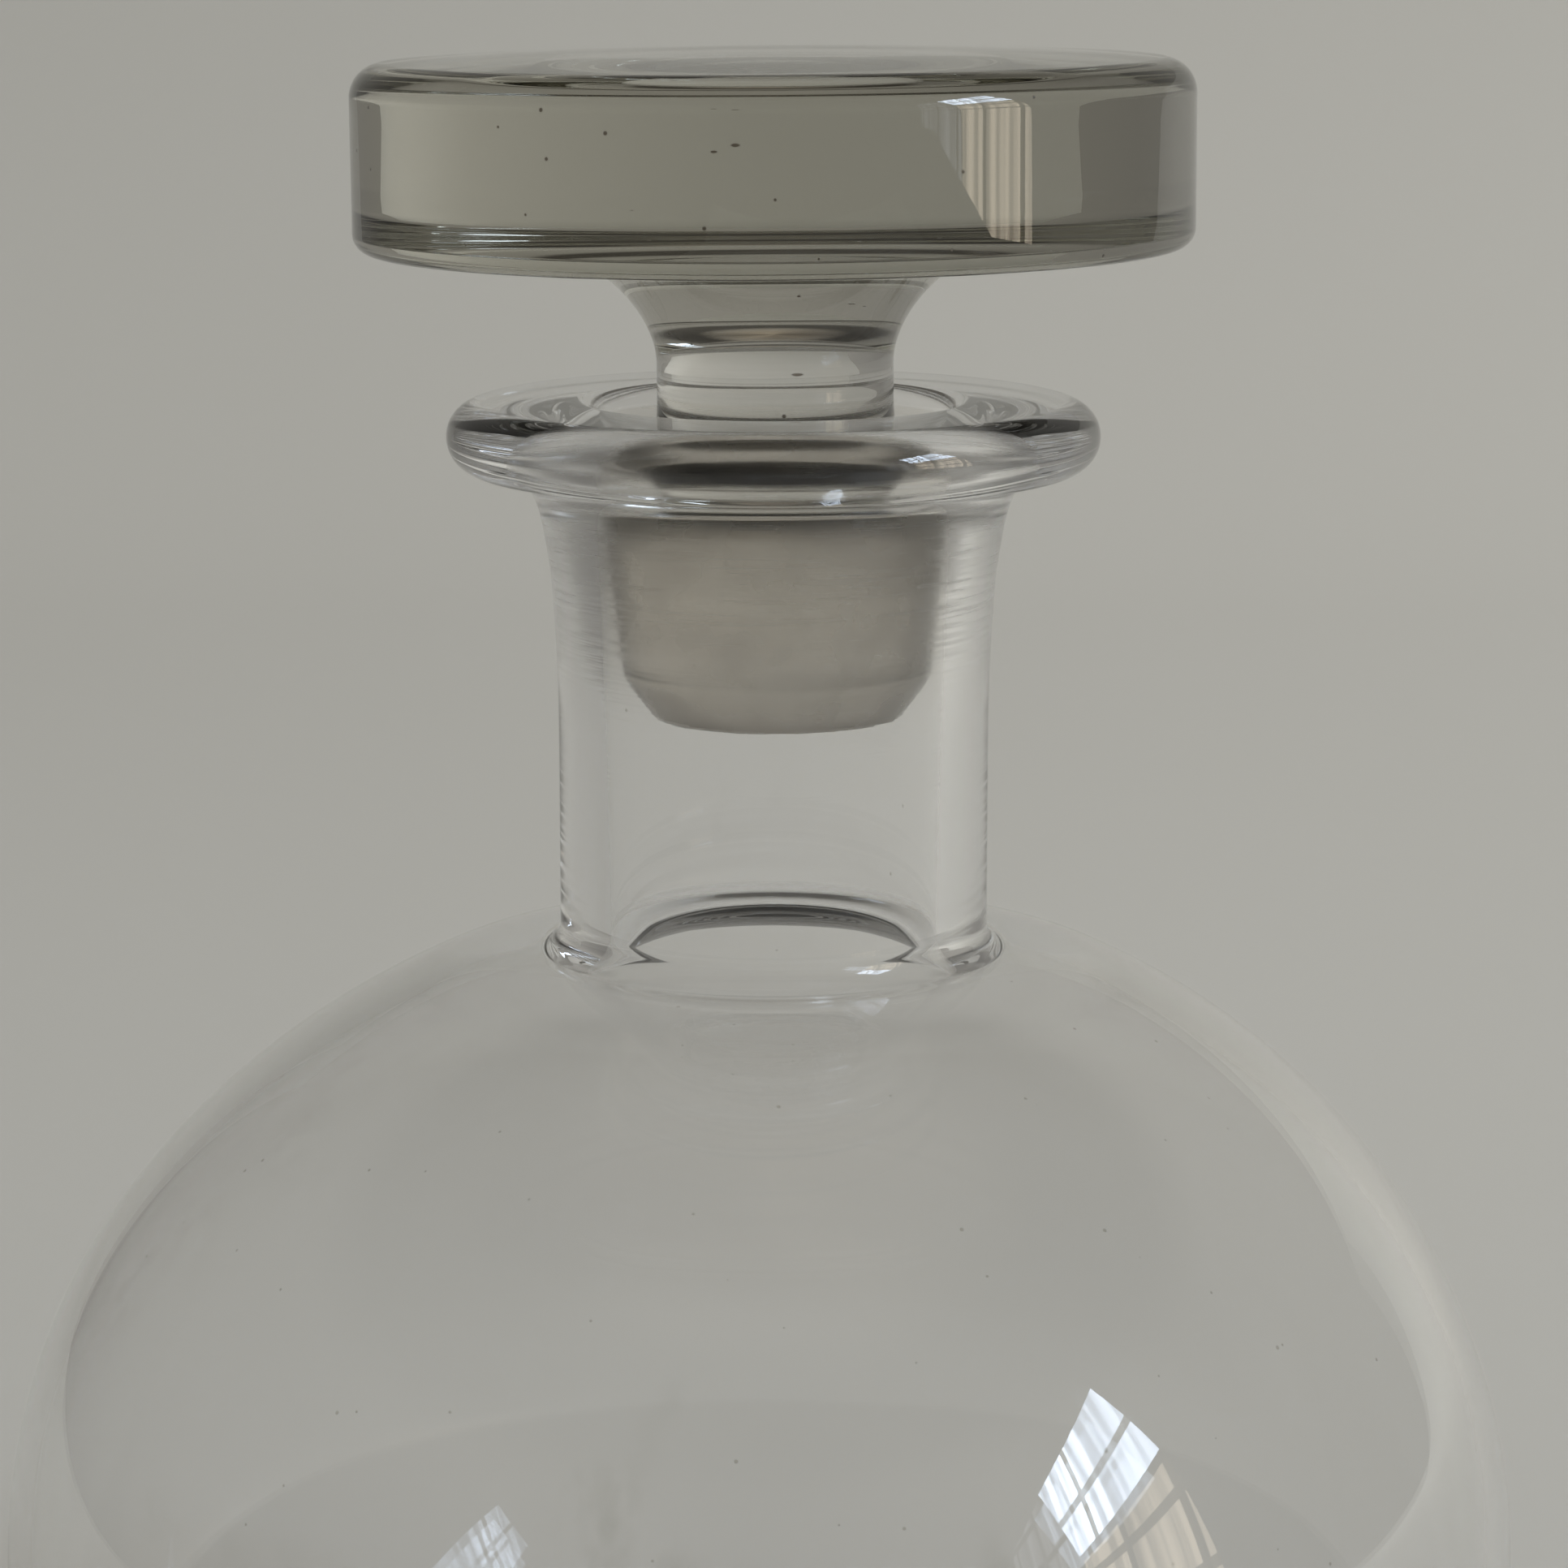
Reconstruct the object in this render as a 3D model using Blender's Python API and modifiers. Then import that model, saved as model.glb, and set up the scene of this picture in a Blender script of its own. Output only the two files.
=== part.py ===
"""Glass decanter with a ground stopper: two turned pieces of glass.

Run with: blender --background --python part.py, or from Blender's text editor.
Metres, +Z up. The origin is the centre of the resting plane, under the foot.
Profiles are written in millimetres as (radius, height) and turned about Z.
"""

import math

import bpy
from mathutils import Vector
from mathutils.geometry import interpolate_bezier

MM = 0.001
SEGMENTS = 48
WELD_DISTANCE = 0.00001

# Body: an upright squashed sphere of blown glass.
BODY_RADIUS = 68.0
BODY_RISE = 60.0
BODY_CENTRE_Z = 54.0
CAVITY_RADIUS = 65.7
CAVITY_RISE = 56.2

# Foot: a flat resting ring round a shallow dome.
FOOT_RING_RADIUS = 30.0
DOME_RADIUS = 24.0
DOME_HEIGHT = 3.0
FLOOR_HEIGHT = 7.0
HEEL_RADIUS = 40.0
FLOOR_FLAT_RADIUS = 15.0
FLOOR_EDGE_RADIUS = 45.0
DOME_HANDLES = ((18.0, 1.6), (10.0, 3.0))
HEEL_HANDLE = (34.0, 0.0)

# Neck and lip.
NECK_RADIUS = 19.0
BORE_RADIUS = 14.5
SHOULDER_EDGE_RADIUS = 32.0
LIP_TOP_Z = 158.0
LIP_RADIUS = 28.6
LIP_THICKNESS = 6.2
MOUTH_ROUNDING = 1.8
SOCKET_TOP_RADIUS = 15.5
SOCKET_END_RADIUS = 14.95
SOCKET_END_Z = 134.0
BORE_CORNER_RADIUS = 4.8
BORE_CORNER_Z = 111.4
ROOF_RADIUS = 34.0
ROOF_HANDLE = (22.3, 106.6)
NECK_FLARE = ((24.0, 151.8), (20.6, 151.6), (20.4, 147.8), (19.6, 143.0))
NECK_TAPER = ((19.6, 143.0), (19.25, 138.6), (19.0, 134.1), (19.0, 129.1))
NECK_FILLET = 2.0
SHOULDER_Z = 109.4
SHOULDER_HANDLE = (25.0, 109.3)

# How far a curve's handle reaches along the wall it leaves: longer is fuller.
FLOOR_REACH = 11.0
ROOF_REACH = 7.0
SHOULDER_REACH = 3.5
HEEL_REACH = 5.0

# Stopper: a thick disc on a flared stem, with a tapered ground plug.
DISC_RADIUS = 36.5
DISC_TOP_Z = 188.0
DISC_THICKNESS = 16.8
DISC_FLAT_RADIUS = 12.0
DISC_DROP = 0.6
DISC_ROUNDING = 3.0
DISC_HEEL_ROUNDING = 1.7
FLARE_RADIUS = 20.3
STEM_RADIUS = 10.35
STEM_TOP_Z = 161.2
STEM_BASE_Z = 158.1
PLUG_TOP_RADIUS = 15.05
PLUG_TOP_Z = 151.0
PLUG_END_RADIUS = 13.6
PLUG_END_Z = 135.0
PLUG_TIP_RADIUS = 10.9
PLUG_TIP_Z = 130.4
FLARE_HANDLES = ((16.2, 171.2), (10.35, 166.0))
PLUG_SHOULDER = ((10.35, 155.1), (10.95, 152.2), (14.55, 151.3))
PLUG_END_HANDLES = ((13.5, 134.1), (12.6, 132.9))


def arc(centre, radius, start, end, steps):
    """Points on a circle from the start angle to the end angle, in degrees."""
    points = []
    for step in range(steps + 1):
        angle = math.radians(start + (end - start) * step / steps)
        points.append((centre[0] + radius * math.cos(angle), centre[1] + radius * math.sin(angle)))
    return points


def curve(start, handle_a, handle_b, end, steps):
    """Points on a Bezier curve, both ends included."""
    knots = [Vector((r, z, 0.0)) for r, z in (start, handle_a, handle_b, end)]
    return [(p.x, p.y) for p in interpolate_bezier(*knots, steps + 1)]


def ellipse_angle(half_width, radius):
    """Angle on an upright ellipse, in degrees above its equator, where it is this far out."""
    return math.degrees(math.acos(radius / half_width))


def ellipse(half_width, half_height, start, end, steps):
    """Points on the body's upright ellipse from one angle above its equator to another."""
    points = []
    for step in range(steps + 1):
        angle = math.radians(start + (end - start) * step / steps)
        height = BODY_CENTRE_Z + half_height * math.sin(angle)
        points.append((half_width * math.cos(angle), height))
    return points


def handle(point, half_width, half_height, reach):
    """A curve handle that leaves a point of the ellipse along its tangent, towards the axis."""
    share = point[0] / half_width
    slope = half_height / half_width * share / math.sqrt(1.0 - share * share)
    rise = slope if point[1] > BODY_CENTRE_Z else -slope
    return (point[0] - reach, point[1] + reach * rise)


def bottle_inside():
    """From the middle of the floor up to the lip: floor, cavity wall, bore, socket and mouth."""
    floor_angle = ellipse_angle(CAVITY_RADIUS, FLOOR_EDGE_RADIUS)
    roof_angle = ellipse_angle(CAVITY_RADIUS, ROOF_RADIUS)
    wall = ellipse(CAVITY_RADIUS, CAVITY_RISE, -floor_angle, roof_angle, 16)
    floor_handle = handle(wall[0], CAVITY_RADIUS, CAVITY_RISE, FLOOR_REACH)
    roof_handle = handle(wall[-1], CAVITY_RADIUS, CAVITY_RISE, ROOF_REACH)
    mouth_centre = (SOCKET_TOP_RADIUS + MOUTH_ROUNDING, LIP_TOP_Z - MOUTH_ROUNDING)
    points = curve(
        (0.0, FLOOR_HEIGHT), (FLOOR_FLAT_RADIUS, FLOOR_HEIGHT), floor_handle, wall[0], 5)[:-1]
    points += wall
    corner_centre = (BORE_RADIUS + BORE_CORNER_RADIUS, BORE_CORNER_Z)
    corner = arc(corner_centre, BORE_CORNER_RADIUS, 270.0, 180.0, 3)
    points += curve(wall[-1], roof_handle, ROOF_HANDLE, corner[0], 4)[1:-1]
    points += corner
    points.append((SOCKET_END_RADIUS, SOCKET_END_Z))
    points += arc(mouth_centre, MOUTH_ROUNDING, 180.0, 90.0, 3)
    return points


def bottle_outside():
    """From the lip down to the middle of the foot: lip edge, neck, shoulder, body and foot."""
    half = LIP_THICKNESS / 2.0
    shoulder_angle = ellipse_angle(BODY_RADIUS, SHOULDER_EDGE_RADIUS)
    heel_angle = ellipse_angle(BODY_RADIUS, HEEL_RADIUS)
    body = ellipse(BODY_RADIUS, BODY_RISE, shoulder_angle, -heel_angle, 18)
    shoulder_handle = handle(body[0], BODY_RADIUS, BODY_RISE, SHOULDER_REACH)
    heel_handle = handle(body[-1], BODY_RADIUS, BODY_RISE, HEEL_REACH)
    points = arc((LIP_RADIUS - half, LIP_TOP_Z - half), half, 90.0, -90.0, 8)
    points += curve(*NECK_FLARE, 5)
    points += curve(*NECK_TAPER, 3)[1:]
    fillet_centre = (NECK_RADIUS + NECK_FILLET, SHOULDER_Z + NECK_FILLET)
    points += arc(fillet_centre, NECK_FILLET, 180.0, 270.0, 3)
    points += curve(points[-1], SHOULDER_HANDLE, shoulder_handle, body[0], 3)[1:-1]
    points += body
    points += curve(body[-1], heel_handle, HEEL_HANDLE, (FOOT_RING_RADIUS, 0.0), 4)[1:]
    points += curve((DOME_RADIUS, 0.0), *DOME_HANDLES, (0.0, DOME_HEIGHT), 4)
    return points


def stopper_profile():
    """From the middle of the disc's top down to the middle of the plug's tip."""
    disc_underside = DISC_TOP_Z - DISC_THICKNESS
    corner_radius = DISC_RADIUS - DISC_ROUNDING
    edge_z = DISC_TOP_Z - DISC_DROP
    heel_radius = DISC_RADIUS - DISC_HEEL_ROUNDING
    points = [(0.0, DISC_TOP_Z), (DISC_FLAT_RADIUS, DISC_TOP_Z)]
    points += arc((corner_radius, edge_z - DISC_ROUNDING), DISC_ROUNDING, 90.0, 0.0, 5)
    points += arc(
        (heel_radius, disc_underside + DISC_HEEL_ROUNDING), DISC_HEEL_ROUNDING, 0.0, -90.0, 4)
    points += curve((FLARE_RADIUS, disc_underside), *FLARE_HANDLES, (STEM_RADIUS, STEM_TOP_Z), 7)
    points += curve((STEM_RADIUS, STEM_BASE_Z), *PLUG_SHOULDER, 5)
    points.append((PLUG_TOP_RADIUS, PLUG_TOP_Z))
    points += curve(
        (PLUG_END_RADIUS, PLUG_END_Z), *PLUG_END_HANDLES, (PLUG_TIP_RADIUS, PLUG_TIP_Z), 4)
    points.append((0.0, PLUG_TIP_Z))
    return points


def glass(name, colour, roughness):
    """A plain glass material of one colour."""
    material = bpy.data.materials.new(name)
    material.use_nodes = True
    shader = material.node_tree.nodes["Principled BSDF"]
    shader.inputs["Base Color"].default_value = colour
    shader.inputs["Roughness"].default_value = roughness
    shader.inputs["Metallic"].default_value = 0.0
    shader.inputs["Transmission Weight"].default_value = 1.0
    shader.inputs["IOR"].default_value = 1.5
    return material


def turned(name, profile, material, collection):
    """One piece turned about Z from a profile that runs down its outer side."""
    mesh = bpy.data.meshes.new(name)
    points = [(r * MM, 0.0, z * MM) for r, z in profile]
    edges = [(i, i + 1) for i in range(len(points) - 1)]
    mesh.from_pydata(points, edges, [])
    mesh.materials.append(material)
    piece = bpy.data.objects.new(name, mesh)
    collection.objects.link(piece)
    lathe = piece.modifiers.new("Lathe", "SCREW")
    lathe.axis = "Z"
    lathe.steps = SEGMENTS
    lathe.render_steps = SEGMENTS
    lathe.use_merge_vertices = True
    lathe.merge_threshold = WELD_DISTANCE
    lathe.use_smooth_shade = True
    return piece


def main():
    for old in list(bpy.data.objects):
        bpy.data.objects.remove(old, do_unlink=True)
    decanter = bpy.data.collections.new("wine_decanter")
    bpy.context.scene.collection.children.link(decanter)
    clear_glass = glass("clear_glass", (0.86, 0.89, 0.86, 1.0), 0.02)
    smoke_glass = glass("smoke_glass", (0.40, 0.35, 0.31, 1.0), 0.03)
    turned("bottle", bottle_inside() + bottle_outside(), clear_glass, decanter)
    turned("stopper", stopper_profile(), smoke_glass, decanter)


if __name__ == "__main__":
    main()
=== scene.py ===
import math

import bpy
from bpy.props import FloatProperty, FloatVectorProperty, IntProperty, PointerProperty
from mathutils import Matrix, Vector
from mathutils.geometry import interpolate_bezier


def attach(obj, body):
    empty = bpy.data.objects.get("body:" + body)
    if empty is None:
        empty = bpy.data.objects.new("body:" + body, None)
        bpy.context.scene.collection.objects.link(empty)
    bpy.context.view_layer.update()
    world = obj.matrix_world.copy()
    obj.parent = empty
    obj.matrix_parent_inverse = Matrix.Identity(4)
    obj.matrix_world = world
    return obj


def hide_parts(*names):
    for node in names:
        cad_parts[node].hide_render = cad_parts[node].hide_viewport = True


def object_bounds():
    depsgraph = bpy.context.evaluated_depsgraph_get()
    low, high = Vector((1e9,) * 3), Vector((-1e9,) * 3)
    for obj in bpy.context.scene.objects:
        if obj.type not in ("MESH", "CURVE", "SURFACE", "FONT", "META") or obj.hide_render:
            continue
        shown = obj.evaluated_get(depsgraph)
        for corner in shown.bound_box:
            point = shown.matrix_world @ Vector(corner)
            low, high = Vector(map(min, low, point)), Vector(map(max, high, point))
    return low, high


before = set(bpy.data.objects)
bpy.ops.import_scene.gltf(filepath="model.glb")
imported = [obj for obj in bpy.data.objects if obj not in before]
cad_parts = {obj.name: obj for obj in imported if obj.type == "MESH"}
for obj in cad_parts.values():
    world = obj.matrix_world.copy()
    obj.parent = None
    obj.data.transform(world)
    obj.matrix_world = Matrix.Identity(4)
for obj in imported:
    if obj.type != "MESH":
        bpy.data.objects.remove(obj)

bl_info = {
    "name": "Stoppered Decanter",
    "version": (1, 0, 0),
    "blender": (4, 5, 0),
    "location": "View3D > Sidebar > Decanter",
    "description": "Builds a blown glass decanter with a ground stopper, and a plain studio round it",
    "category": "Object",
}

CAD_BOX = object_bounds()
MM = 0.001
WELD = 0.001 * MM
QUARTER = math.pi / 2.0


# ---------------------------------------------------------------- settings


def length(label, text, default):
    """A size in metres that a user may change."""
    return FloatProperty(
        name=label, description=text, default=default, min=0.0, precision=5,
        subtype="DISTANCE", unit="LENGTH")


def slant(label, text, degrees):
    """An angle that a user may change."""
    return FloatProperty(
        name=label, description=text, default=math.radians(degrees),
        subtype="ANGLE", unit="ROTATION")


def turn_steps():
    """How finely a piece is turned, which a user may change."""
    return IntProperty(
        name="Sides", description="How many steps one turn of the glass is made of",
        default=192, min=24, max=256)


def colour(label, text, code):
    """A colour given as an sRGB hex code, kept in linear light."""
    return FloatVectorProperty(
        name=label, description=text, default=linear(code), size=4, min=0.0, max=1.0,
        subtype="COLOR")


def linear(code):
    """Turns an sRGB hex code into linear red, green, blue and a full alpha."""
    parts = [int(code[i:i + 2], 16) / 255.0 for i in (0, 2, 4)]
    values = [p / 12.92 if p <= 0.04045 else ((p + 0.055) / 1.055) ** 2.4 for p in parts]
    return (*values, 1.0)


class BottleSettings(bpy.types.PropertyGroup):
    """Sizes of the blown bottle."""

    body_radius: length("Body radius", "Half the width of the round body", 68.0 * MM)
    body_rise: length("Body rise", "Half the height of the body's squashed sphere", 60.0 * MM)
    body_centre: length("Body centre", "Height of the widest part of the body", 54.0 * MM)
    cavity_radius: length("Cavity radius", "Half the width of the space inside", 65.7 * MM)
    cavity_rise: length("Cavity rise", "Half the height of the space inside", 56.2 * MM)
    ring_radius: length("Foot ring radius", "Outer radius of the flat ring it stands on", 30.0 * MM)
    dome_radius: length("Foot dome radius", "Radius of the hollow under the foot", 24.0 * MM)
    dome_height: length("Foot dome height", "Height of the hollow under the foot", 3.0 * MM)
    floor_height: length("Floor height", "Height of the inside floor in the middle", 7.0 * MM)
    neck_radius: length("Neck radius", "Outer radius of the straight neck", 19.0 * MM)
    bore_radius: length("Bore radius", "Inner radius at the foot of the neck", 14.5 * MM)
    bore_corner: length("Bore corner", "Radius where the bore opens into the body", 4.8 * MM)
    fillet: length("Neck fillet", "Radius where the neck meets the shoulder", 2.0 * MM)
    roof_wall: length("Roof wall", "Thickness of the glass round the foot of the neck", 2.8 * MM)
    shoulder: length("Shoulder height", "Height of the flat shoulder round the neck", 109.4 * MM)
    lip_top: length("Lip height", "Height of the top of the lip", 158.0 * MM)
    lip_radius: length("Lip radius", "Outer radius of the flanged lip", 28.6 * MM)
    lip_thickness: length("Lip thickness", "Thickness of the flanged lip", 6.2 * MM)
    mouth_rounding: length("Mouth rounding", "Radius of the melted edge of the mouth", 1.8 * MM)
    socket_top: length("Socket top radius", "Radius of the ground socket at the mouth", 15.5 * MM)
    socket_end: length("Socket end radius", "Radius of the ground socket at its foot", 14.95 * MM)
    socket_foot: length("Socket foot", "Height of the foot of the ground socket", 134.0 * MM)
    lean: length("Body lean", "How far the hand-blown body sits to one side of the neck", 1.3 * MM)
    sides: turn_steps()


class StopperSettings(bpy.types.PropertyGroup):
    """Sizes of the solid stopper."""

    disc_radius: length("Disc radius", "Half the width of the disc head", 36.5 * MM)
    disc_top: length("Disc height", "Height of the top of the disc", 188.0 * MM)
    disc_thickness: length("Disc thickness", "Thickness of the disc head", 16.8 * MM)
    disc_flat: length("Disc flat", "Radius of the flat middle of the disc's top", 12.0 * MM)
    disc_drop: length("Disc drop", "How far the top falls from its middle to its edge", 0.6 * MM)
    disc_rounding: length("Disc rounding", "Radius of the disc's melted top edge", 3.0 * MM)
    disc_heel: length("Disc heel", "Radius of the disc's melted lower edge", 1.7 * MM)
    flare_radius: length("Flare radius", "Radius where the stem spreads into the disc", 20.3 * MM)
    stem_radius: length("Stem radius", "Radius of the straight stem", 10.35 * MM)
    stem_top: length("Stem top", "Height where the stem starts to spread", 161.2 * MM)
    stem_base: length("Stem base", "Height of the foot of the stem", 158.1 * MM)
    plug_radius: length("Plug radius", "Radius of the ground plug at its top", 15.05 * MM)
    plug_top: length("Plug top", "Height of the top of the ground plug", 151.0 * MM)
    plug_end_radius: length("Plug end radius", "Radius where the taper of the plug ends", 13.6 * MM)
    plug_end: length("Plug end", "Height where the taper of the plug ends", 135.0 * MM)
    tip_radius: length("Tip radius", "Radius of the flat tip of the plug", 10.9 * MM)
    tip: length("Tip height", "Height of the flat tip of the plug", 130.4 * MM)
    lean: slant("Lean", "How far the hand-ground stopper leans in its socket", 0.45)
    sides: turn_steps()


class StageSettings(bpy.types.PropertyGroup):
    """The camera and the pale sheet."""

    camera_distance: length("Camera distance", "From the camera to the axis of the neck", 407.3 * MM)
    camera_rise: length("Camera rise", "Height of the camera above the stopper", 14.6 * MM)
    tilt: slant("Tilt", "How far the camera looks down", 10.96)
    turn: slant("Turn", "How far the camera looks to the right of the axis", 0.13)
    lens: FloatProperty(
        name="Lens", description="Focal length on a 36 mm sensor", default=107.3, unit="CAMERA")
    sheet_left: length("Sheet left", "How far the pale sheet runs to the left", 0.7)
    sheet_right: length("Sheet right", "How far the pale sheet runs to the right", 1.6)
    sheet_front: length("Sheet front", "How far the pale sheet runs to the front", 2.5)
    sheet_depth: length("Sheet depth", "How far behind the decanter the sheet stands up", 1.4)
    sheet_bend: length("Sheet bend", "Radius of the curve where the sheet turns upwards", 0.5)
    sheet_rise: length("Sheet height", "Height of the sheet's top edge", 0.58)
    sheet_colour: colour("Sheet colour", "Pale matt grey of the sheet", "C3C2BC")


# ---------------------------------------------------------------- outlines
#
# An outline is a list of (radius, height) points. The last number given for each of its
# stretches is how many steps it has: about 2 mm each on the body, and finer where it is tight.


# Radii where the bottle's floor, roof, shoulder and heel leave the squashed sphere.
FLOOR_FLAT = 15.0 * MM
FLOOR_EDGE = 45.0 * MM
ROOF_EDGE = 34.0 * MM
SHOULDER_EDGE = 32.0 * MM
HEEL_EDGE = 40.0 * MM

# How far a curve's handle reaches along the wall it leaves: longer is fuller.
FLOOR_REACH = 11.0 * MM
ROOF_REACH = 7.0 * MM
SHOULDER_REACH = 3.5 * MM
HEEL_REACH = 5.0 * MM

# Steps in millimetres, outwards and upwards, from the corner that each curve bends round.
ROOF_STEP = (3.0, 0.0)
NECK_FLARE = ((5.0, 0.0), (1.6, -0.2), (1.4, -4.0), (0.6, -8.8))
NECK_TAPER = ((0.6, -8.8), (0.25, -13.2), (0.0, -17.7), (0.0, -22.7))
SHOULDER_STEP = (6.0, -0.1)
HEEL_STEP = (4.0, 0.0)
DOME_EDGE_STEP = (-6.0, 1.6)
DOME_TOP_STEP = (10.0, 0.0)
CROWN_STEPS = ((8.0, 0.0), (-8.0, 0.3))
STEM_FLARE_STEPS = ((-4.1, 0.0), (0.0, 4.8))
STEM_BASE_STEP = (0.0, -3.0)
PLUG_SHOULDER_STEP = (0.6, 1.2)
PLUG_RIM = ((-0.5, 0.3), (-0.2, 0.2), (0.0, 0.0), (-0.02, -0.3))
PLUG_END_STEP = (-0.1, -0.9)
TIP_STEP = (1.7, 2.5)
TIP_EDGE = ((0.3, 0.5), (0.1, 0.15), (-0.1, 0.0), (-0.5, 0.0))


def arc(centre, radius, start, end, steps):
    """Points on a circle from the start angle to the end angle, in degrees."""
    points = []
    for step in range(steps + 1):
        angle = math.radians(start + (end - start) * step / steps)
        points.append((centre[0] + radius * math.cos(angle), centre[1] + radius * math.sin(angle)))
    return points


def curve(start, handle_a, handle_b, end, steps):
    """Points on a Bezier curve, both ends included."""
    knots = [Vector((r, z, 0.0)) for r, z in (start, handle_a, handle_b, end)]
    return [(p.x, p.y) for p in interpolate_bezier(*knots, steps + 1)]


def line(start, end, steps):
    """Points on a straight line, both ends included."""
    a, b = Vector(start), Vector(end)
    return [tuple(a.lerp(b, step / steps)) for step in range(steps + 1)]


def beside(point, step):
    """The point that lies this many millimetres outwards and upwards from another."""
    return (point[0] + step[0] * MM, point[1] + step[1] * MM)


def curve_round(corner, knots, steps):
    """Points on a Bezier curve whose four knots are steps from one corner."""
    return curve(*[beside(corner, knot) for knot in knots], steps)


def ellipse_angle(half_width, radius):
    """Angle above the equator of an upright ellipse where it is this far out, in degrees."""
    return math.degrees(math.acos(radius / half_width))


def ellipse(centre, half_width, half_height, start, end, steps):
    """Points on an upright ellipse from one angle above its equator to another."""
    points = []
    for step in range(steps + 1):
        angle = math.radians(start + (end - start) * step / steps)
        points.append((half_width * math.cos(angle), centre + half_height * math.sin(angle)))
    return points


def handle(point, centre, half_width, half_height, reach):
    """A curve handle that leaves a point of an ellipse along its tangent, towards the axis."""
    share = point[0] / half_width
    slope = half_height / half_width * share / math.sqrt(1.0 - share * share)
    rise = slope if point[1] > centre else -slope
    return (point[0] - reach, point[1] + reach * rise)


def joined(*stretches):
    """One outline from stretches that each start where the one before ends."""
    points = list(stretches[0])
    for stretch in stretches[1:]:
        points += stretch[1:]
    return points


def bottle_inside(s):
    """From the middle of the inside floor, up the cavity wall and the bore, to the mouth."""
    inner = (s.body_centre, s.cavity_radius, s.cavity_rise)
    floor_angle = ellipse_angle(s.cavity_radius, FLOOR_EDGE)
    roof_angle = ellipse_angle(s.cavity_radius, ROOF_EDGE)
    wall = ellipse(*inner, -floor_angle, roof_angle, 90)
    floor_handle = handle(wall[0], *inner, FLOOR_REACH)
    floor = curve((0.0, s.floor_height), (FLOOR_FLAT, s.floor_height), floor_handle, wall[0], 28)
    corner_centre = (s.bore_radius + s.bore_corner, s.shoulder - s.roof_wall + s.bore_corner)
    corner = arc(corner_centre, s.bore_corner, 270.0, 180.0, 12)
    roof_handle = handle(wall[-1], *inner, ROOF_REACH)
    roof = curve(wall[-1], roof_handle, beside(corner[0], ROOF_STEP), corner[0], 20)
    socket_foot = (s.socket_end, s.socket_foot)
    mouth_centre = (s.socket_top + s.mouth_rounding, s.lip_top - s.mouth_rounding)
    mouth = arc(mouth_centre, s.mouth_rounding, 180.0, 90.0, 14)
    return joined(
        floor, wall, roof, corner, line(corner[-1], socket_foot, 10),
        line(socket_foot, mouth[0], 10), mouth)


def bottle_outside(s):
    """From the edge of the lip, down the neck and the body, to the middle of the foot."""
    outer = (s.body_centre, s.body_radius, s.body_rise)
    half = s.lip_thickness / 2.0
    lip = arc((s.lip_radius - half, s.lip_top - half), half, 90.0, -90.0, 32)
    under_lip = (s.neck_radius, s.lip_top - s.lip_thickness)
    flare = curve_round(under_lip, NECK_FLARE, 22)
    taper = curve_round(under_lip, NECK_TAPER, 14)
    foot = arc((s.neck_radius + s.fillet, s.shoulder + s.fillet), s.fillet, 180.0, 270.0, 20)
    shoulder_angle = ellipse_angle(s.body_radius, SHOULDER_EDGE)
    heel_angle = ellipse_angle(s.body_radius, HEEL_EDGE)
    body = ellipse(*outer, shoulder_angle, -heel_angle, 90)
    shoulder = curve(foot[-1], beside((s.neck_radius, s.shoulder), SHOULDER_STEP),
                     handle(body[0], *outer, SHOULDER_REACH), body[0], 20)
    ring = (s.ring_radius, 0.0)
    heel = curve(body[-1], handle(body[-1], *outer, HEEL_REACH), beside(ring, HEEL_STEP), ring, 16)
    dome_edge = (s.dome_radius, 0.0)
    dome_top = (0.0, s.dome_height)
    dome = curve(dome_edge, beside(dome_edge, DOME_EDGE_STEP),
                 beside(dome_top, DOME_TOP_STEP), dome_top, 24)
    return joined(
        lip, line(lip[-1], flare[0], 2), flare, taper, line(taper[-1], foot[0], 6),
        foot, shoulder, body, heel, line(heel[-1], dome[0], 3), dome)


def bottle_outline(s):
    """The closed bottle: its inside, the flat top of the lip and its outside."""
    inside = bottle_inside(s)
    outside = bottle_outside(s)
    return joined(inside, line(inside[-1], outside[0], 6), outside)


def disc_outline(s):
    """From the middle of the disc's top, over its two melted edges, to the flare under it."""
    underside = s.disc_top - s.disc_thickness
    rim = (s.disc_radius - s.disc_rounding, s.disc_top - s.disc_drop)
    flat = (s.disc_flat, s.disc_top)
    crown = curve(flat, beside(flat, CROWN_STEPS[0]), beside(rim, CROWN_STEPS[1]), rim, 20)
    top_edge = arc((rim[0], rim[1] - s.disc_rounding), s.disc_rounding, 90.0, 0.0, 24)
    low_edge = arc((s.disc_radius - s.disc_heel, underside + s.disc_heel),
                   s.disc_heel, 0.0, -90.0, 24)
    return joined(
        line((0.0, s.disc_top), crown[0], 6), crown, top_edge,
        line(top_edge[-1], low_edge[0], 8), low_edge,
        line(low_edge[-1], (s.flare_radius, underside), 6))


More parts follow.
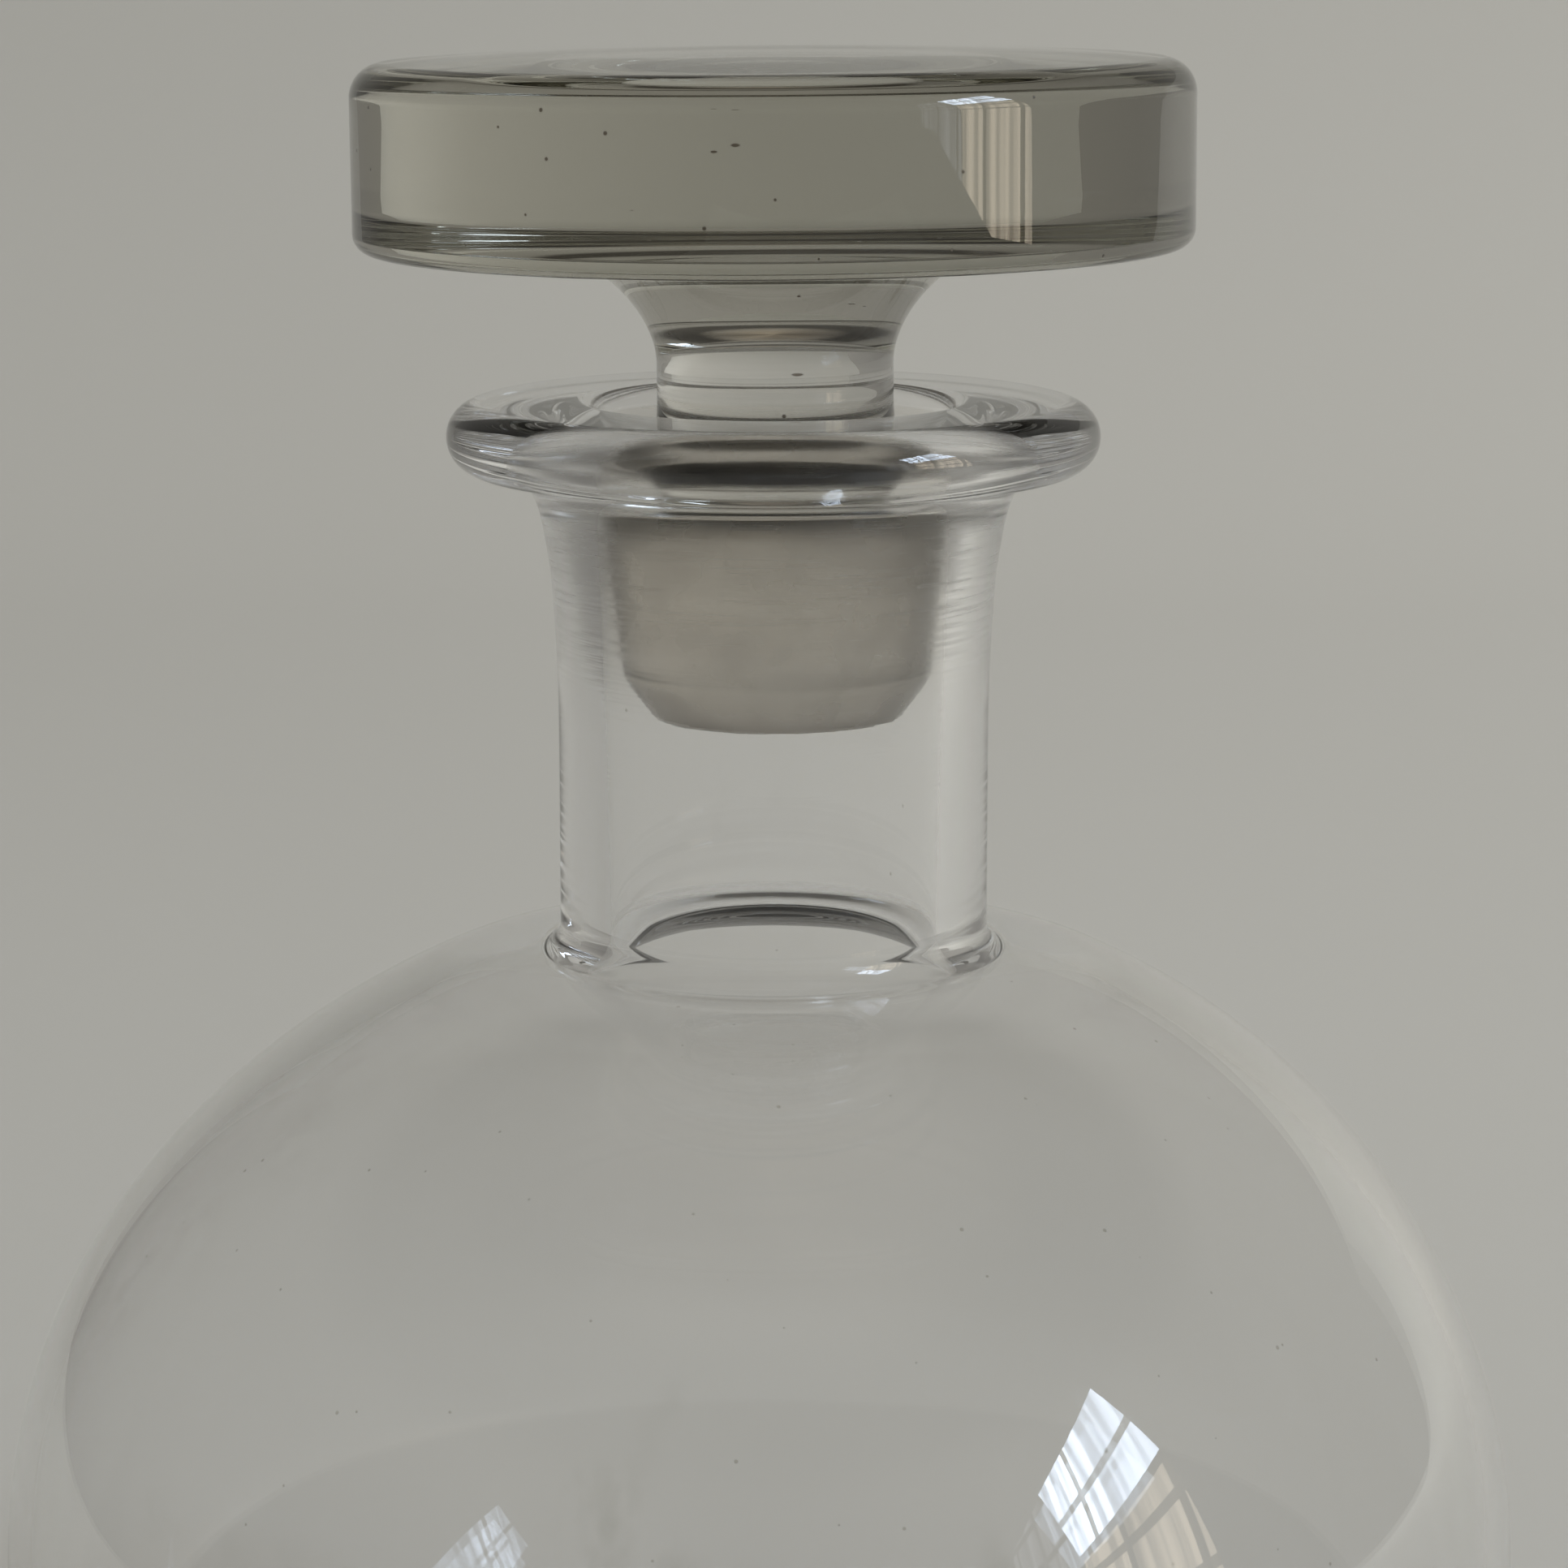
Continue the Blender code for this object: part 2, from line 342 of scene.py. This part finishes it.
def stopper_outline(s):
    """From the middle of the disc's top, down the stem, to the middle of the plug's tip."""
    disc = disc_outline(s)
    stem_top = (s.stem_radius, s.stem_top)
    stem_base = (s.stem_radius, s.stem_base)
    flare = curve(disc[-1], beside(disc[-1], STEM_FLARE_STEPS[0]),
                  beside(stem_top, STEM_FLARE_STEPS[1]), stem_top, 30)
    rim = curve_round((s.plug_radius, s.plug_top), PLUG_RIM, 6)
    shoulder = curve(stem_base, beside(stem_base, STEM_BASE_STEP),
                     beside((s.stem_radius, s.plug_top), PLUG_SHOULDER_STEP), rim[0], 16)
    taper = line(rim[-1], (s.plug_end_radius, s.plug_end), 14)
    tip = (s.tip_radius, s.tip)
    tip_edge = curve_round(tip, TIP_EDGE, 6)
    plug_end = curve(taper[-1], beside(taper[-1], PLUG_END_STEP), beside(tip, TIP_STEP),
                     tip_edge[0], 16)
    return joined(
        disc, flare, line(flare[-1], stem_base, 3), shoulder, rim, taper, plug_end,
        tip_edge, line(tip_edge[-1], (0.0, s.tip), 8))


# ---------------------------------------------------------------- modelling


def drawn(name, outline):
    """Draws an outline upright over the X axis by extruding one corner along it."""
    bpy.ops.object.select_all(action="DESELECT")
    bpy.ops.mesh.primitive_plane_add(size=MM, location=(0.0, 0.0, 0.0))
    piece = bpy.context.object
    piece.name = name
    piece.data.name = name
    bpy.ops.object.mode_set(mode="EDIT")
    bpy.ops.mesh.select_all(action="SELECT")
    bpy.ops.mesh.merge(type="CENTER")
    place = Vector((outline[0][0], 0.0, outline[0][1]))
    bpy.ops.transform.translate(value=place)
    for across, height in outline[1:]:
        target = Vector((across, 0.0, height))
        bpy.ops.mesh.extrude_vertices_move(TRANSFORM_OT_translate={"value": target - place})
        place = target
    bpy.ops.mesh.select_all(action="SELECT")
    return piece


def turned(name, outline, sides):
    """Spins an outline once about Z into a closed piece of glass."""
    piece = drawn(name, outline)
    bpy.ops.mesh.spin(
        steps=sides, angle=math.tau, center=(0.0, 0.0, 0.0), axis=(0.0, 0.0, 1.0))
    bpy.ops.mesh.select_all(action="SELECT")
    bpy.ops.mesh.remove_doubles(threshold=WELD)
    bpy.ops.mesh.normals_make_consistent(inside=False)
    bpy.ops.object.mode_set(mode="OBJECT")
    bpy.ops.object.shade_smooth()
    return piece


def smooth_step(low, high, value):
    """0 below low, 1 above high and a soft rise between them."""
    share = min(1.0, max(0.0, (value - low) / (high - low)))
    return share * share * (3.0 - 2.0 * share)


def lean_body(piece, shift, low, high):
    """Shifts all below low to the left, and fades the shift out up to high."""
    for vertex in piece.data.vertices:
        vertex.co.x -= shift * (1.0 - smooth_step(low, high, vertex.co.z))


def tilt_mesh(angle, pivot):
    """Turns the active piece's mesh about the Y axis through this point, and not its object."""
    bpy.ops.object.mode_set(mode="EDIT")
    bpy.ops.mesh.select_all(action="SELECT")
    bpy.ops.transform.rotate(value=angle, orient_axis="Y", center_override=pivot)
    bpy.ops.object.mode_set(mode="OBJECT")


def give_second_finish(piece, finish, keep):
    """Gives the faces that keep(radius, height) picks the piece's second finish."""
    piece.data.materials.append(finish)
    for face in piece.data.polygons:
        middle = face.center
        if keep(math.hypot(middle.x, middle.y), middle.z):
            face.material_index = 1


# ---------------------------------------------------------------- materials

# The Mix node's colour sockets, whose names its number sockets share.
FIRST = 6
SECOND = 7
MIXED = 2

# A pattern rises softly between two levels, never in a hard step.
SOFT = {"interpolation_type": "SMOOTHSTEP"}


def new_material(name):
    """An empty node material with its output."""
    material = bpy.data.materials.new(name)
    material.use_nodes = True
    material.node_tree.nodes.clear()
    return material, add(material, "ShaderNodeOutputMaterial")


def add(material, kind, values=None, links=None, **settings):
    """Adds a node with its settings and input values, and links its inputs.

    A link comes from a socket, or from a node's first socket where a node is given.
    """
    node = material.node_tree.nodes.new(kind)
    for key, value in settings.items():
        setattr(node, key, value)
    for key, value in (values or {}).items():
        node.inputs[key].default_value = value
    for key, source in (links or {}).items():
        socket = source.outputs[0] if isinstance(source, bpy.types.Node) else source
        material.node_tree.links.new(socket, node.inputs[key])
    return node


def blobs(size_mm, detail):
    """Noise values for blobs about this many millimetres across."""
    return {"Scale": 1.0 / (size_mm * MM), "Detail": detail}


def spread(low, high, start, end):
    """Map Range values that take low..high of a pattern to start..end."""
    return {"From Min": low, "From Max": high, "To Min": start, "To Max": end}


def specks(material, place, size_mm, spacing_mm, share):
    """1 in a few round specks of this size, 0 elsewhere; share is how many cells hold one."""
    cells = add(material, "ShaderNodeTexVoronoi", {"Scale": 1.0 / (spacing_mm * MM)},
                {"Vector": place})
    chance = add(material, "ShaderNodeSeparateColor", links={0: cells.outputs["Color"]})
    radius = size_mm / spacing_mm / 2.0
    near = add(material, "ShaderNodeMapRange", spread(radius * 0.6, radius, 1.0, 0.0),
               {"Value": cells.outputs["Distance"]}, **SOFT)
    chosen = add(material, "ShaderNodeMath", {1: share}, {0: chance}, operation="LESS_THAN")
    return add(material, "ShaderNodeMath", links={0: near, 1: chosen}, operation="MULTIPLY")


def glass_surface(material, output, patterns):
    """A glass surface on the material's output, with these patterns on its inputs."""
    glass = add(material, "ShaderNodeBsdfPrincipled", {
        "IOR": 1.5, "Transmission Weight": 1.0}, patterns)
    material.node_tree.links.new(glass.outputs[0], output.inputs["Surface"])


def clear_glass():
    """Blown soda glass, fire polished.

    The slow waviness left by the blowing bends reflections a little, and old
    handling has left faint greasy smudges and a few grains of dust.
    """
    material, output = new_material("blown_clear_glass")
    place = add(material, "ShaderNodeTexCoord").outputs["Object"]
    wave = add(material, "ShaderNodeTexNoise", blobs(26.0, 1.0), {"Vector": place})
    patches = add(material, "ShaderNodeTexNoise", blobs(34.0, 2.0), {"Vector": place})
    where_held = add(material, "ShaderNodeMapRange", spread(0.58, 0.76, 0.0, 1.0),
                     {"Value": patches}, **SOFT)
    upright = add(material, "ShaderNodeVectorMath", {1: (1.0, 1.0, 0.45)}, {0: place},
                  operation="MULTIPLY")
    wipes = add(material, "ShaderNodeTexNoise", blobs(5.0, 4.0), {"Vector": upright})
    grease = add(material, "ShaderNodeMapRange", spread(0.45, 0.75, 0.0, 0.4),
                 {"Value": wipes}, **SOFT)
    film = add(material, "ShaderNodeMath", links={0: where_held, 1: grease},
               operation="MULTIPLY")
    dust = specks(material, place, 0.45, 5.0, 0.5)
    marks = add(material, "ShaderNodeMath", links={0: film, 1: dust}, operation="MAXIMUM")
    glass_surface(material, output, {
        "Base Color": add(
            material, "ShaderNodeMix", {FIRST: linear("FFFFFF"), SECOND: linear("CCCAC0")},
            {0: marks}, data_type="RGBA").outputs[MIXED],
        "Roughness": add(material, "ShaderNodeMapRange", spread(0.0, 1.0, 0.0, 0.06),
                         {"Value": film}, **SOFT),
        "Normal": add(material, "ShaderNodeBump", {"Strength": 1.0, "Distance": 0.035 * MM},
                      {"Height": wave})})
    return material


# Heights between which the grinding of the socket fades out, below the plug.
GRINDING_GONE = 129.0 * MM
GRINDING_FULL = 141.0 * MM


def ground_clear_glass():
    """The socket in the neck, ground with fine grit so that the plug seals.

    The grit leaves fine rings round the bore, drawn 0.35 mm apart so that they show,
    and the grinding fades out below the plug.
    """
    material, output = new_material("ground_clear_glass")
    place = add(material, "ShaderNodeTexCoord").outputs["Object"]
    height = add(material, "ShaderNodeSeparateXYZ", links={0: place}).outputs["Z"]
    depth = add(material, "ShaderNodeMapRange", spread(GRINDING_GONE, GRINDING_FULL, 0.0, 1.0),
                {"Value": height}, **SOFT)
    level = add(material, "ShaderNodeVectorMath", {1: (0.04, 0.04, 1.0)}, {0: place},
                operation="MULTIPLY")
    rings = add(material, "ShaderNodeTexNoise", blobs(0.35, 3.0), {"Vector": level})
    grit = add(material, "ShaderNodeMapRange", spread(0.3, 0.7, 0.12, 0.30),
               {"Value": rings}, **SOFT)
    glass_surface(material, output, {
        "Base Color": add(
            material, "ShaderNodeMix", {FIRST: linear("FFFFFF"), SECOND: linear("F4F2EE")},
            {0: depth}, data_type="RGBA").outputs[MIXED],
        "Roughness": add(material, "ShaderNodeMath", links={0: depth, 1: grit},
                         operation="MULTIPLY"),
        "Normal": add(material, "ShaderNodeBump", {"Strength": 1.0, "Distance": 0.006 * MM},
                      {"Height": rings})})
    return material


# The tone that the smoke tint lets through, and how dense the tint is per metre of glass.
SMOKE = "C2C0B1"
SMOKE_PER_METRE = 20.0


def smoke_volume(material, output):
    """The brown-grey tint that deepens with the thickness of the glass."""
    tint = add(material, "ShaderNodeVolumeAbsorption", {
        "Color": linear(SMOKE), "Density": SMOKE_PER_METRE})
    material.node_tree.links.new(tint.outputs[0], output.inputs["Volume"])


def smoke_glass():
    """Pressed and fire-polished glass with a brown-grey smoke tint.

    Pressing leaves a slow waviness, and dark specks of ash were caught in the pot.
    """
    material, output = new_material("pressed_smoke_glass")
    place = add(material, "ShaderNodeTexCoord").outputs["Object"]
    wave = add(material, "ShaderNodeTexNoise", blobs(15.0, 1.0), {"Vector": place})
    coarse = specks(material, place, 0.45, 4.0, 0.9)
    fine = specks(material, place, 0.32, 2.6, 0.6)
    ash = add(material, "ShaderNodeMath", links={0: coarse, 1: fine}, operation="MAXIMUM")
    glass_surface(material, output, {
        "Base Color": add(
            material, "ShaderNodeMix", {FIRST: linear("FFFFFF"), SECOND: linear("564C44")},
            {0: ash}, data_type="RGBA").outputs[MIXED],
        "Roughness": add(material, "ShaderNodeMapRange", spread(0.0, 1.0, 0.0, 0.3),
                         {"Value": ash}, **SOFT),
        "Normal": add(material, "ShaderNodeBump", {"Strength": 1.0, "Distance": 0.012 * MM},
                      {"Height": wave})})
    smoke_volume(material, output)
    return material


def ground_smoke_glass():
    """The plug, ground matt with fine grit in its socket.

    It scatters what is behind it, with rings drawn 0.4 mm apart so that they show, a
    cloudy mottle from wear and a few small chips.
    """
    material, output = new_material("ground_smoke_glass")
    place = add(material, "ShaderNodeTexCoord").outputs["Object"]
    level = add(material, "ShaderNodeVectorMath", {1: (0.05, 0.05, 1.0)}, {0: place},
                operation="MULTIPLY")
    rings = add(material, "ShaderNodeTexNoise", blobs(0.4, 3.0), {"Vector": level})
    cloud = add(material, "ShaderNodeTexNoise", blobs(6.0, 4.0), {"Vector": place})
    chips = specks(material, place, 0.9, 6.0, 0.35)
    mottle = add(material, "ShaderNodeMapRange", spread(0.35, 0.7, 0.0, 0.22),
                 {"Value": cloud}, **SOFT)
    wear = add(material, "ShaderNodeMath", links={0: chips, 1: mottle}, operation="MAXIMUM")
    glass_surface(material, output, {
        "Base Color": add(
            material, "ShaderNodeMix", {FIRST: linear("FFFBF8"), SECOND: linear("7C6F68")},
            {0: wear}, data_type="RGBA").outputs[MIXED],
        "Roughness": add(material, "ShaderNodeMapRange", spread(0.3, 0.7, 0.22, 0.34),
                         {"Value": cloud}, **SOFT),
        "Normal": add(material, "ShaderNodeBump", {"Strength": 1.0, "Distance": 0.010 * MM},
                      {"Height": rings})})
    smoke_volume(material, output)
    return material


# ---------------------------------------------------------------- the two pieces

# The body's lean starts this far above its widest part and ends this far above the shoulder.
LEAN_START = 20.0 * MM
LEAN_END = 3.0 * MM

# The stopper leans about a point this far below the top of its disc.
LEAN_DEPTH = 8.0 * MM

# The socket's finish takes in faces up to this much wider than its mouth and this far below
# its foot, and the plug's finish runs this far above its rim.
SOCKET_MARGIN = 0.1 * MM
SOCKET_RUN_OUT = 8.0 * MM
PLUG_RUN_OUT = 1.4 * MM


class DECANTER_OT_bottle(bpy.types.Operator):
    """Blow the bottle: body, neck, socket and lip in one piece of clear glass"""

    bl_idname = "decanter.bottle"
    bl_label = "Bottle"

    def execute(self, context):
        s = context.scene.decanter_bottle
        piece = turned("bottle_glass", bottle_outline(s), s.sides)
        lean_body(piece, s.lean, s.body_centre + LEAN_START, s.shoulder + LEAN_END)
        piece.data.materials.append(clear_glass())
        give_second_finish(piece, ground_clear_glass(), lambda radius, height: (
            radius < s.socket_top + SOCKET_MARGIN
            and s.socket_foot - SOCKET_RUN_OUT < height < s.lip_top - s.mouth_rounding))
        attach(piece, "bottle")
        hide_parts("bottle")
        return {"FINISHED"}


class DECANTER_OT_stopper(bpy.types.Operator):
    """Press and grind the stopper: disc, stem and plug in one piece of smoke glass"""

    bl_idname = "decanter.stopper"
    bl_label = "Stopper"

    def execute(self, context):
        s = context.scene.decanter_stopper
        piece = turned("stopper_glass", stopper_outline(s), s.sides)
        tilt_mesh(s.lean, (0.0, 0.0, s.disc_top - LEAN_DEPTH))
        piece.data.materials.append(smoke_glass())
        give_second_finish(piece, ground_smoke_glass(), lambda radius, height: (
            radius > s.tip_radius and height < s.plug_top + PLUG_RUN_OUT))
        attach(piece, "stopper")
        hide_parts("stopper")
        return {"FINISHED"}


# ---------------------------------------------------------------- the stage


class DECANTER_OT_stage(bpy.types.Operator):
    """Lay the pale sheet, hang the lights and set the camera"""

    bl_idname = "decanter.stage"
    bl_label = "Stage"

    def execute(self, context):
        s = context.scene.decanter_stage
        make_camera(s)
        make_backdrop(s)
        make_lights()
        make_window()
        make_world(context.scene)
        context.scene.view_settings.view_transform = "Standard"
        follow_reflections(context.scene.cycles)
        return {"FINISHED"}


def follow_reflections(paths):
    """Follows light through many reflections, or the thick edges of the glass turn black."""
    paths.glossy_bounces = 16
    paths.transmission_bounces = 24
    paths.max_bounces = 32


def make_camera(s):
    """The camera stands in front of the neck, a little above the stopper, and looks down."""
    top = CAD_BOX[1].z
    place = (0.0, -s.camera_distance, top + s.camera_rise)
    bpy.ops.object.select_all(action="DESELECT")
    bpy.ops.object.camera_add(location=place, rotation=(QUARTER - s.tilt, 0.0, -s.turn))
    camera = bpy.context.object
    camera.data.lens = s.lens
    camera.data.sensor_width = 36.0
    camera.data.clip_start = 10.0 * MM
    bpy.context.scene.camera = camera


def matt_card(tone):
    """Thick matt card, which takes soft shadows and gives no highlight."""
    material, output = new_material("matt_sheet")
    card = add(material, "ShaderNodeBsdfPrincipled", {
        "Base Color": tone, "Roughness": 1.0, "Specular IOR Level": 0.0})
    material.node_tree.links.new(card.outputs[0], output.inputs["Surface"])
    return material


def make_backdrop(s):
    """A pale matt sheet that runs under the decanter and curves up behind it."""
    bend_start = s.sheet_depth - s.sheet_bend
    outline = joined(
        line((-s.sheet_front, 0.0), (bend_start, 0.0), 2),
        arc((bend_start, s.sheet_bend), s.sheet_bend, -90.0, 0.0, 24),
        line((s.sheet_depth, s.sheet_bend), (s.sheet_depth, s.sheet_rise), 2))
    sheet = drawn("backdrop", outline)
    bpy.ops.transform.rotate(value=-QUARTER, orient_axis="Z", center_override=(0.0, 0.0, 0.0))
    bpy.ops.transform.translate(value=(-s.sheet_left, 0.0, 0.0))
    bpy.ops.mesh.extrude_edges_move(
        TRANSFORM_OT_translate={"value": (s.sheet_left + s.sheet_right, 0.0, 0.0)})
    bpy.ops.object.mode_set(mode="OBJECT")
    bpy.ops.object.shade_smooth()
    sheet.data.materials.append(matt_card(s.sheet_colour))


# Wide light from above, with a little more of it from the right.
OVERHEAD_PLACE = (0.0, -1.0, 2.0)
OVERHEAD_TURN = (math.radians(16.0), 0.0, math.radians(15.0))
OVERHEAD_SPREAD = math.radians(110.0)
OVERHEAD_ENERGY = 1.08
SIDE_PLACE = (1.5, 0.5, 0.9)
SIDE_TURN = (math.radians(60.0), 0.0, QUARTER)
SIDE_SIZE = 0.8
SIDE_ENERGY = 11.0


def sheet_light(kind, name, place, turn, energy):
    """A light that falls on the sheet alone, so that it leaves no highlight in the glass."""
    bpy.ops.object.select_all(action="DESELECT")
    bpy.ops.object.light_add(type=kind, location=place, rotation=turn)
    light = bpy.context.object
    light.name = name
    light.data.energy = energy
    light.visible_glossy = False
    light.visible_transmission = False
    return light


def make_lights():
    """Wide light for the sheet, stronger from the right."""
    overhead = sheet_light("SUN", "overhead", OVERHEAD_PLACE, OVERHEAD_TURN, OVERHEAD_ENERGY)
    overhead.data.angle = OVERHEAD_SPREAD
    side = sheet_light("AREA", "side", SIDE_PLACE, SIDE_TURN, SIDE_ENERGY)
    side.data.size = SIDE_SIZE


# The window is in a wall 1 m away at this bearing. Its parts have four corners each, along
# the wall and up it in metres, clockwise from the top left, then their strength, their tint
# and the width and height of the panes between their bars. Clear panes seen in a reflection
# are brighter than the ones seen through the glass, so those have a part of their own.
WINDOW_WALL = math.radians(107.0)
WALL_AWAY = Vector((math.sin(WINDOW_WALL), -math.cos(WINDOW_WALL), 0.0))
WALL_ALONG = Vector((math.cos(WINDOW_WALL), math.sin(WINDOW_WALL), 0.0))
WIDE_PANES = (1.40, 0.30)
NARROW_PANES = (0.40, 0.27)
TOP_CORNERS = ((-1.82, 1.19), (-0.94, 1.16), (-0.80, 0.70), (-1.61, 0.67))
FOOT_CORNERS = ((-1.60, 0.63), (-0.79, 0.66), (-0.713, 0.075), (-1.517, 0.075))
BLIND_CORNERS = ((-2.50, 1.10), (-1.84, 1.16), (-1.53, 0.075), (-2.46, 0.075))
SEEN_THROUGH = "window_through"
WINDOW = {
    "window_top": (TOP_CORNERS, 19.0, "DCEBFF", WIDE_PANES),
    "window_foot": (FOOT_CORNERS, 4.2, "FFEFD6", NARROW_PANES),
    "window_blind": (BLIND_CORNERS, 1.7, "E8EAF0", NARROW_PANES),
    SEEN_THROUGH: (TOP_CORNERS, 5.0, "DCEBFF", WIDE_PANES),
}
BAR_WIDTH = 0.022
BAR_TONE = "6A675F"

# Which corner each vertex of a new plane takes.
PLANE_ORDER = (3, 2, 0, 1)


def make_window():
    """A tall window to the right, that glass shows but the camera does not see."""
    for name, (corners, strength, tint, glazing) in WINDOW.items():
        pane = window_part(name, corners)
        pane.data.materials.append(window_light(name, strength, tint, glazing))
        pane.visible_camera = False
        pane.visible_shadow = False
        pane.visible_glossy = name != SEEN_THROUGH
        pane.visible_transmission = name == SEEN_THROUGH


def window_part(name, corners):
    """A flat four-cornered part of the window, on its wall."""
    bpy.ops.object.select_all(action="DESELECT")
    bpy.ops.mesh.primitive_plane_add(size=1.0)
    part = bpy.context.object
    part.name = name
    for vertex, index in zip(part.data.vertices, PLANE_ORDER):
        side, height = corners[index]
        vertex.co = WALL_AWAY + WALL_ALONG * side + Vector((0.0, 0.0, height))
    return part


def window_light(name, strength, tint, glazing):
    """Daylight through old window glass: uneven upright streaks, crossed by darker bars."""
    material, output = new_material(name)
    place = add(material, "ShaderNodeTexCoord").outputs["Object"]
    upright = add(material, "ShaderNodeVectorMath", {1: (1.0, 1.0, 0.05)}, {0: place},
                  operation="MULTIPLY")
    streaks = add(material, "ShaderNodeTexNoise", blobs(90.0, 3.0), {"Vector": upright})
    across = add(material, "ShaderNodeVectorMath", {1: WALL_ALONG}, {0: place},
                 operation="DOT_PRODUCT")
    height = add(material, "ShaderNodeSeparateXYZ", links={0: place})
    on_wall = add(material, "ShaderNodeCombineXYZ", links={
        0: across.outputs["Value"], 1: height.outputs["Z"]})
    bars = add(material, "ShaderNodeTexBrick", {
        "Color1": linear("FFFFFF"), "Color2": linear("FFFFFF"), "Mortar": linear(BAR_TONE),
        "Scale": 1.0, "Mortar Size": BAR_WIDTH, "Brick Width": glazing[0],
        "Row Height": glazing[1]}, {"Vector": on_wall}, offset=0.0)
    tone = add(material, "ShaderNodeMix", {0: 1.0, SECOND: linear(tint)}, {FIRST: bars},
               data_type="RGBA", blend_type="MULTIPLY").outputs[MIXED]
    level = add(material, "ShaderNodeMapRange",
                spread(0.35, 0.65, strength * 0.4, strength * 1.3), {"Value": streaks}, **SOFT)
    glow = add(material, "ShaderNodeEmission", links={"Color": tone, "Strength": level})
    material.node_tree.links.new(glow.outputs[0], output.inputs["Surface"])
    return material


# The room's tone from straight down to straight up, and then once round it from the front.
ROOM = (
    (0.00, "FFFDF8"), (0.70, "F6F4EF"), (0.80, "EEECE6"), (0.85, "7A7670"),
    (0.93, "76726C"), (0.965, "E8E0D4"), (1.00, "F6E6D0"))
WALLS = (
    (0.00, "81807E"), (0.125, "81807E"), (0.25, "636261"), (0.375, "7E7D7B"), (0.50, "A2A19E"),
    (0.625, "9E9D9A"), (0.75, "73726F"), (0.875, "9C9B98"), (1.00, "81807E"))


def fill_ramp(ramp, stops):
    """Makes a ramp run through these hex codes, and returns its colour."""
    elements = ramp.color_ramp.elements
    elements[0].position, elements[0].color = stops[0][0], linear(stops[0][1])
    elements[1].position, elements[1].color = stops[-1][0], linear(stops[-1][1])
    for position, code in stops[1:-1]:
        elements.new(position).color = linear(code)
    return ramp.outputs["Color"]


def make_world(scene):
    """The room round the sheet: pale behind and to the right of it, dim to the left."""
    world = bpy.data.worlds.new("plain_room")
    scene.world = world
    world.use_nodes = True
    world.node_tree.nodes.clear()
    output = add(world, "ShaderNodeOutputWorld")
    place = add(world, "ShaderNodeTexCoord")
    parts = add(world, "ShaderNodeSeparateXYZ", links={0: place.outputs["Generated"]})
    rise = add(world, "ShaderNodeMapRange", {"From Min": -1.0, "From Max": 1.0},
               {"Value": parts.outputs["Z"]})
    bearing = add(world, "ShaderNodeMath", links={
        0: parts.outputs["X"], 1: parts.outputs["Y"]}, operation="ARCTAN2")
    round_the_room = add(world, "ShaderNodeMapRange", {
        "From Min": -math.pi, "From Max": math.pi}, {"Value": bearing})
    walls = add(world, "ShaderNodeValToRGB", links={0: round_the_room})
    room = add(world, "ShaderNodeValToRGB", links={0: rise})
    tone = add(world, "ShaderNodeMix", {0: 1.0}, {
        FIRST: fill_ramp(walls, WALLS), SECOND: fill_ramp(room, ROOM)},
        data_type="RGBA", blend_type="MULTIPLY").outputs[MIXED]
    glow = add(world, "ShaderNodeBackground", links={"Color": tone})
    world.node_tree.links.new(glow.outputs[0], output.inputs["Surface"])


# ---------------------------------------------------------------- the add-on


class DECANTER_PT_panel(bpy.types.Panel):
    """Lists the pieces of the decanter and its stage"""

    bl_idname = "DECANTER_PT_panel"
    bl_label = "Decanter"
    bl_space_type = "VIEW_3D"
    bl_region_type = "UI"
    bl_category = "Decanter"

    def draw(self, context):
        layout = self.layout
        for operator in OPERATORS:
            layout.operator(operator.bl_idname)
        for name in SETTINGS:
            settings = getattr(context.scene, name)
            box = layout.box()
            for key in settings.__annotations__:
                box.prop(settings, key)


OPERATORS = (DECANTER_OT_bottle, DECANTER_OT_stopper, DECANTER_OT_stage)
SETTINGS = {
    "decanter_bottle": BottleSettings,
    "decanter_stopper": StopperSettings,
    "decanter_stage": StageSettings,
}
CLASSES = (*SETTINGS.values(), *OPERATORS, DECANTER_PT_panel)


def register():
    for each in CLASSES:
        bpy.utils.register_class(each)
    for name, group in SETTINGS.items():
        setattr(bpy.types.Scene, name, PointerProperty(type=group))


def unregister():
    for name in SETTINGS:
        delattr(bpy.types.Scene, name)
    for each in reversed(CLASSES):
        bpy.utils.unregister_class(each)


def main():
    register()
    bpy.ops.decanter.bottle()
    bpy.ops.decanter.stopper()
    bpy.ops.decanter.stage()


if __name__ == "__main__":
    main()
